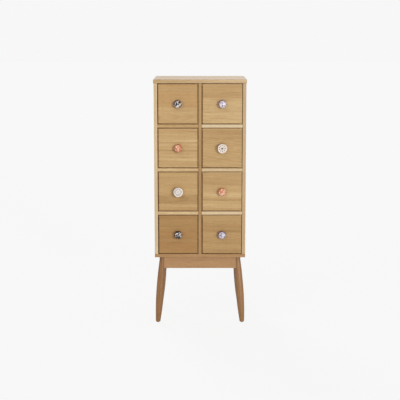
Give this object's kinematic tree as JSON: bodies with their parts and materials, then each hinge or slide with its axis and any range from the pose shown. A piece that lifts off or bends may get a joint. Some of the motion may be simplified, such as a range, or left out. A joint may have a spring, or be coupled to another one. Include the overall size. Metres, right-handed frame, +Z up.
{
  "type": "drawer cabinet",
  "caption": "Tall narrow wooden cabinet with two columns of small sliding drawers, ceramic knobs and a frame of splayed turned legs.",
  "frame": {"origin": "on the floor, below the middle of the whole cabinet with its knobs", "axes": "+Z up, -Y out of the drawer fronts, +X to the right seen from the front"},
  "size_m": [0.404, 0.3264, 1.084],
  "materials": {
    "oak": "clear matt lacquer over straight oak grain",
    "turned_oak": "darker clear lacquer over turned oak",
    "drawer_wood": "sanded, waxed pale wood",
    "plywood": "sealed plywood",
    "beech": "plain sanded beech",
    "zinc_steel": "zinc plated",
    "brass": "aged brass",
    "nylon": "moulded nylon",
    "marbled_ceramic": "gloss glaze, black and white marbling",
    "flecked_ceramic": "gloss glaze, pale lilac with blue flecks",
    "coral_ceramic": "gloss glaze, coral with pink clouds",
    "white_ceramic": "gloss glaze, warm white with a ring of grey dots"
  },
  "bodies": {
    "cabinet": {"top_panel": "oak", "bottom_panel": "oak", "left_side_panel": "oak", "right_side_panel": "oak", "centre_divider": "oak", "left_shelf_1": "oak", "left_shelf_2": "oak", "left_shelf_3": "oak", "right_shelf_1": "oak", "right_shelf_2": "oak", "right_shelf_3": "oak", "back_panel": "plywood", "back_panel_screws": "zinc_steel", "carcass_dowels": "beech", "drawer_stops": "beech", "front_rail": "oak", "back_rail": "oak", "left_rail": "oak", "right_rail": "oak", "front_left_leg": "turned_oak", "front_right_leg": "turned_oak", "back_left_leg": "turned_oak", "back_right_leg": "turned_oak", "corner_blocks": "beech", "leg_bolts": "zinc_steel", "frame_screws": "zinc_steel", "foot_glides": "nylon"},
    "left_drawer_1": {"left_drawer_1_front": "oak", "left_drawer_1_box": "drawer_wood", "left_drawer_1_knob": "marbled_ceramic", "left_drawer_1_knob_bolt": "brass"},
    "left_drawer_2": {"left_drawer_2_front": "oak", "left_drawer_2_box": "drawer_wood", "left_drawer_2_knob": "coral_ceramic", "left_drawer_2_knob_bolt": "brass"},
    "left_drawer_3": {"left_drawer_3_front": "oak", "left_drawer_3_box": "drawer_wood", "left_drawer_3_knob": "white_ceramic", "left_drawer_3_knob_bolt": "brass"},
    "left_drawer_4": {"left_drawer_4_front": "oak", "left_drawer_4_box": "drawer_wood", "left_drawer_4_knob": "marbled_ceramic", "left_drawer_4_knob_bolt": "brass"},
    "right_drawer_1": {"right_drawer_1_front": "oak", "right_drawer_1_box": "drawer_wood", "right_drawer_1_knob": "flecked_ceramic", "right_drawer_1_knob_bolt": "brass"},
    "right_drawer_2": {"right_drawer_2_front": "oak", "right_drawer_2_box": "drawer_wood", "right_drawer_2_knob": "white_ceramic", "right_drawer_2_knob_bolt": "brass"},
    "right_drawer_3": {"right_drawer_3_front": "oak", "right_drawer_3_box": "drawer_wood", "right_drawer_3_knob": "coral_ceramic", "right_drawer_3_knob_bolt": "brass"},
    "right_drawer_4": {"right_drawer_4_front": "oak", "right_drawer_4_box": "drawer_wood", "right_drawer_4_knob": "flecked_ceramic", "right_drawer_4_knob_bolt": "brass"}
  },
  "joints": [
    {"name": "left_drawer_1_slide", "type": "slide", "parent": "cabinet", "child": "left_drawer_1", "axis": [0, -1, 0], "range_m": [0, 0.2]},
    {"name": "left_drawer_2_slide", "type": "slide", "parent": "cabinet", "child": "left_drawer_2", "axis": [0, -1, 0], "range_m": [0, 0.2]},
    {"name": "left_drawer_3_slide", "type": "slide", "parent": "cabinet", "child": "left_drawer_3", "axis": [0, -1, 0], "range_m": [0, 0.2]},
    {"name": "left_drawer_4_slide", "type": "slide", "parent": "cabinet", "child": "left_drawer_4", "axis": [0, -1, 0], "range_m": [0, 0.2]},
    {"name": "right_drawer_1_slide", "type": "slide", "parent": "cabinet", "child": "right_drawer_1", "axis": [0, -1, 0], "range_m": [0, 0.2]},
    {"name": "right_drawer_2_slide", "type": "slide", "parent": "cabinet", "child": "right_drawer_2", "axis": [0, -1, 0], "range_m": [0, 0.2]},
    {"name": "right_drawer_3_slide", "type": "slide", "parent": "cabinet", "child": "right_drawer_3", "axis": [0, -1, 0], "range_m": [0, 0.2]},
    {"name": "right_drawer_4_slide", "type": "slide", "parent": "cabinet", "child": "right_drawer_4", "axis": [0, -1, 0], "range_m": [0, 0.2]}
  ]
}
